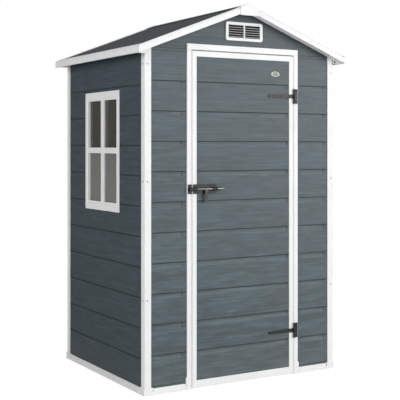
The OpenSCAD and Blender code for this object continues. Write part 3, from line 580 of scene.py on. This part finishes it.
def badge_mesh():
    """Oval plate from its foot over the rim into the sunk field, one ring for each step."""
    steps = [
        (0, -0.0005), (0, 0.0016), (0.0008, 0.0026), (0.0024, 0.0026), (0.0034, 0.0014),
        (0.0085, 0.0019),
    ]
    shape = bmesh.new()
    loops = []
    for inset, rise in steps:
        loops.append([
            shape.verts.new((
                badge_at[0] + (badge_half[0] - inset) * math.cos(a),
                panel_face_y - rise,
                badge_at[1] + (badge_half[1] - inset) * math.sin(a),
            ))
            for a in (2 * math.pi * k / badge_sides for k in range(badge_sides))
        ])
    for low, high in zip(loops, loops[1:]):
        for k in range(badge_sides):
            shape.faces.new((low[k - 1], low[k], high[k], high[k - 1])).smooth = True
    shape.faces.new(loops[0][::-1])
    shape.faces.new(loops[-1])
    bmesh.ops.recalc_face_normals(shape, faces=shape.faces)
    mesh = bpy.data.meshes.new("door_badge")
    shape.to_mesh(mesh)
    shape.free()
    return mesh


badge = bpy.data.objects.new("door_badge", badge_mesh())
scene.collection.objects.link(badge)
material, tree, shader, at = new_finish("badge_enamel")
centred = add(tree, "ShaderNodeMapping", {
    "Vector": at, "Location": (-badge_at[0] / badge_half[0], 0, -badge_at[1] / badge_half[1]),
    "Scale": (1 / badge_half[0], 0, 1 / badge_half[1]),
}).outputs[0]
reach = add(tree, "ShaderNodeVectorMath", {0: centred}, operation="LENGTH").outputs["Value"]
field = remap(tree, reach, 0.74, 0.82, 1.0, 0.0)
skin = use_group(tree, moulded_skin, Vector=at, Fineness=1500.0)
cream = blend(tree, skin["Tone"], (0.80, 0.78, 0.68), (0.74, 0.72, 0.62))
tree.links.new(blend(tree, field, cream, (0.22, 0.225, 0.20)), shader.inputs["Base Color"])
tree.links.new(calc(tree, "MULTIPLY_ADD", field, 0.15, 0.25), shader.inputs["Roughness"])
bump(tree, shader, skin["Height"], 0.2, 0.0001)
badge.data.materials.append(material)
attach(badge, "door")

# ---------- Hinges ----------
# Black-painted strap hinges: a plate with two knuckles and the pin on the jamb, and a
# tapered strap across the leaf. Black screws hold them, and the base rails too.


def black_paint(name, roughness):
    """Black powder coat with a fine texture, rubbed a little brown."""
    material, tree, shader, at = new_finish(name)
    skin = use_group(tree, moulded_skin, Vector=at, Fineness=1800.0)
    rubbed = remap(tree, noise(tree, at, 130.0, 4.0, 0.6), 0.52, 0.75)
    coat = blend(tree, skin["Tone"], (0.010, 0.010, 0.010), (0.017, 0.0165, 0.016))
    lightened = blend(tree, calc(tree, "MULTIPLY", rubbed, 0.35), coat, (0.070, 0.066, 0.058))
    tree.links.new(lightened, shader.inputs["Base Color"])
    tree.links.new(calc(tree, "MULTIPLY_ADD", rubbed, 0.1, roughness), shader.inputs["Roughness"])
    shader.inputs["Specular IOR Level"].default_value = 0.32
    bump(tree, shader, skin["Height"], 0.3, 0.0002)
    return material


black = black_paint("black_powder_coat", 0.32)
dress(black, "hinge_plates", "hinge_straps")
plate_low, plate_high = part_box("hinge_plates")
half_plate = 0.040
plate_screw_in = 0.0085
plate_screw_rise = 0.030
pin_x = 0.3225
strap_screws_out = (0.030, 0.085, 0.140)
steel_t = 0.0025
jamb_proud = 0.001
plate_face_y = -half_d - jamb_proud - steel_t
strap_face_y = -half_d - steel_t
plate_screw_r = 0.0040
strap_screw_r = 0.0036
forward = (0, -1, 0)
plate_screws, strap_screws = [], []
for z in (plate_low.z + half_plate, plate_high.z - half_plate):
    for side in (-1, 1):
        at_screw = (plate_high.x - plate_screw_in, plate_face_y, z + side * plate_screw_rise)
        plate_screws.append((at_screw, forward))
    for reach in strap_screws_out:
        strap_screws.append(((pin_x - reach, strap_face_y, z), forward))
for name, body, radius, places in (
    ("hinge_plate_screws", "root", plate_screw_r, plate_screws),
    ("hinge_strap_screws", "door", strap_screw_r, strap_screws),
    ("base_rail_screws", "root", plate_screw_r, rail_screws),
):
    drive_screws(name, body, black, radius, places)

# ---------- Pad bolt ----------
# A black-painted pad bolt: the plate with its two loops on the leaf, the keep on the jamb,
# and a bright-rubbed rod whose hasp hangs over the padlock's place.
dress(black, "bolt_plate", "bolt_keep")
bolt_low, bolt_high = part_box("bolt_plate")
keep_low, keep_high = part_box("bolt_keep")
bolt_z = (bolt_low.z + bolt_high.z) / 2
rod_r = 0.0060
rod_fade = 0.002
bolt_screw_r = 0.0034
bolt_screw_rise = 0.0185
keep_screw_rise = 0.0190
bolt_screw_in = (0.028, 0.036)

# the rod slides bare and bright in its loops, and its hasp keeps the black paint
material, tree, shader, at = new_finish("rubbed_rod")
skin = use_group(tree, moulded_skin, Vector=at, Fineness=1800.0)
level = add(tree, "ShaderNodeSeparateXYZ", {0: at}).outputs["Z"]
bare = remap(tree, level, bolt_z - rod_r - rod_fade, bolt_z - rod_r, 0.0, 1.0)
steel = blend(tree, skin["Tone"], (0.20, 0.19, 0.175), (0.13, 0.125, 0.115))
tree.links.new(blend(tree, bare, (0.013, 0.013, 0.012), steel), shader.inputs["Base Color"])
tree.links.new(bare, shader.inputs["Metallic"])
tree.links.new(calc(tree, "MULTIPLY_ADD", skin["Height"], 0.12, 0.20), shader.inputs["Roughness"])
shader.inputs["Specular IOR Level"].default_value = 0.4
bump(tree, shader, skin["Height"], 0.15, 0.0001)
dress(material, "bolt_rod")
bolt_screws = [
    ((x, strap_face_y, bolt_z + side * bolt_screw_rise), forward)
    for x in (bolt_low.x + bolt_screw_in[0], bolt_high.x - bolt_screw_in[1]) for side in (-1, 1)
]
keep_mid_x = (keep_low.x + keep_high.x) / 2
keep_screws = [
    ((keep_mid_x, plate_face_y, bolt_z + side * keep_screw_rise), forward) for side in (-1, 1)
]
drive_screws("bolt_plate_screws", "door", black, bolt_screw_r, bolt_screws)
drive_screws("bolt_keep_screws", "root", black, bolt_screw_r, keep_screws)

# ---------- Window ----------
# A white resin casing round one clear acrylic sheet. Flat bars with eased edges are clipped
# over the sheet and make four lights of it.
dress(satin_white, "window_casing")
pane_low, pane_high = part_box("window_pane")
pane_mid_y, pane_mid_z = (pane_low.y + pane_high.y) / 2, (pane_low.z + pane_high.z) / 2
pane_lap = 0.007
mullion_w = 0.034
transom_h = 0.0315
bar_depth = 0.0145
bar_ease = 0.0025
upright_move = (0, -0.003, 0)
level_move = (0.0004, 0, 0.0035)
film_fade = 0.008

# upright and level bars across an opening that faces -X, in equal steps
bar_tree, given = geometry_tree("glazing_bars", [
    ("Middle", "NodeSocketVector"), ("Opening width", "NodeSocketFloat"),
    ("Opening height", "NodeSocketFloat"), ("Uprights", "NodeSocketInt"),
    ("Levels", "NodeSocketInt"), ("Upright width", "NodeSocketFloat"),
    ("Level height", "NodeSocketFloat"), ("Depth", "NodeSocketFloat"),
    ("Eased edge", "NodeSocketFloat"), ("Finish", "NodeSocketMaterial"),
])


def bars(tree, given, count, face, long, turn, step_axis):
    """One set of bars: an eased bar of the given face and length on every equal step."""
    outline = add(tree, "GeometryNodeCurvePrimitiveQuadrilateral", {
        0: given[face], 1: given["Depth"],
    })
    eased = add(tree, "GeometryNodeFilletCurve", {
        0: outline.outputs[0], "Radius": given["Eased edge"], "Count": 3,
    }, mode="POLY")
    half = calc(tree, "MULTIPLY", given[long], 0.5)
    ends = [
        add(tree, "ShaderNodeCombineXYZ", {"Z": calc(tree, "MULTIPLY", half, sign)}).outputs[0]
        for sign in (-1.0, 1.0)
    ]
    spine = add(tree, "GeometryNodeCurvePrimitiveLine", {"Start": ends[0], "End": ends[1]})
    bar = add(tree, "GeometryNodeCurveToMesh", {
        0: spine.outputs[0], 1: eased.outputs[0], "Fill Caps": True,
    })
    across = "Opening width" if step_axis == "Y" else "Opening height"
    gaps = calc(tree, "ADD", given[count], 1.0)
    step = calc(tree, "DIVIDE", given[across], gaps)
    back = calc(tree, "MULTIPLY", calc(tree, "SUBTRACT", given[count], 1.0), -0.5)
    first, offset = (
        add(tree, "ShaderNodeCombineXYZ", {step_axis: value}).outputs[0]
        for value in (calc(tree, "MULTIPLY", step, back), step)
    )
    steps = add(tree, "GeometryNodeMeshLine", {
        "Count": given[count], "Start Location": first, "Offset": offset,
    })
    return add(tree, "GeometryNodeInstanceOnPoints", {
        "Points": steps.outputs[0], "Instance": bar.outputs[0], "Rotation": turn,
    }).outputs[0]


quarter = math.radians(90)
grid = add(bar_tree, "GeometryNodeJoinGeometry")
for count, face, long, turn, step_axis, move in (
    ("Uprights", "Upright width", "Opening height", (0, 0, quarter), "Y", upright_move),
    ("Levels", "Level height", "Opening width", (quarter, quarter, 0), "Z", level_move),
):
    bar = bars(bar_tree, given, count, face, long, turn, step_axis)
    placed = add(bar_tree, "GeometryNodeTransform", {"Geometry": bar, "Translation": move})
    bar_tree.links.new(placed.outputs[0], grid.inputs[0])
moved = add(bar_tree, "GeometryNodeTransform", {
    "Geometry": grid.outputs[0], "Translation": given["Middle"],
})
close_tree(bar_tree, moved.outputs[0], given["Finish"])

run_tree(bar_tree, bpy.data.meshes.new("no_start"), {
    "Middle": (pane_low.x - bar_depth / 2, pane_mid_y, pane_mid_z),
    "Opening width": pane_high.y - pane_low.y - 2 * pane_lap,
    "Opening height": pane_high.z - pane_low.z - 2 * pane_lap,
    "Uprights": 1, "Levels": 1, "Upright width": mullion_w, "Level height": transom_h,
    "Depth": bar_depth, "Eased edge": bar_ease, "Finish": satin_white,
}, "glazing_bars", "root")

# the sheet's colour is painted light and shade: dark above the transom and paler and rougher
# below it, with faint vertical streaks
material, tree, shader, at = new_finish("window_acrylic")
level = add(tree, "ShaderNodeSeparateXYZ", {0: at}).outputs["Z"]
# painted light: the mask that makes the sheet paler below the transom
below_transom = remap(tree, level, pane_mid_z - film_fade, pane_mid_z + film_fade, 1.0, 0.0)
vertical_streaks = noise(tree, scaled(tree, at, (1, 60, 5)), 1.0, 4.0, 0.6)
upper = blend(tree, vertical_streaks, (0.074, 0.070, 0.056), (0.100, 0.095, 0.076))
lower = blend(tree, vertical_streaks, (0.200, 0.200, 0.182), (0.240, 0.240, 0.220))
tree.links.new(blend(tree, below_transom, upper, lower), shader.inputs["Base Color"])
tree.links.new(calc(tree, "MULTIPLY_ADD", below_transom, 0.25, 0.08), shader.inputs["Roughness"])
shader.inputs["Transmission Weight"].default_value = 0.35
shader.inputs["IOR"].default_value = 1.49
bump(tree, shader, vertical_streaks, 0.05, 0.0005)
dress(material, "window_pane")

# ---------- Vents ----------
# White resin grilles clipped into the gables, with sloping louvres on both sides of a bar.
# They keep the trims' satin finish, and the louvres' slots stay open to the inside.
dress(satin_white, "front_vent", "back_vent")

# ---------- Roof ----------
# Two dark grey resin panels with joints down the slope, and a folded cap along the ridge.
# The panels lie on the walls and are held down by the white channels at their edges.
roof_board = 0.156
roof_joint = 0.078
roof_boards = grey_boards(
    "roof_boards", roof_colour, roof_board, roof_joint, flat_turn, 6.0, shine=0.10
)
dress(roof_boards, "roof_panel_left", "roof_panel_right", "ridge_cap")

# ---------- Roof trims ----------
# White resin channels along the gables and eaves and a cover over each end of the ridge. A
# screw holds the soffit's end at the front right corner, and the same at the back left.
dress(
    satin_white, "eave_trim_left", "eave_trim_right",
    "rake_trim_front_left", "rake_trim_front_right", "rake_trim_back_left",
    "rake_trim_back_right", "ridge_cover_front", "ridge_cover_back",
)

trim_low, trim_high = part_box("rake_trim_front_left")[0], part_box("rake_trim_back_right")[1]
gusset_face = 0.042
gusset_screw = (0.0480, 0.0095)
corner_screw_r = 0.0050
screw_x, screw_y = trim_high.x - gusset_screw[0], trim_high.y - gusset_face
screw_z = trim_low.z + gusset_screw[1]
corner_screws = [((-sy * screw_x, sy * screw_y, screw_z), (0, sy, 0)) for sy in (-1, 1)]
drive_screws("corner_screws", "root", black, corner_screw_r, corner_screws)
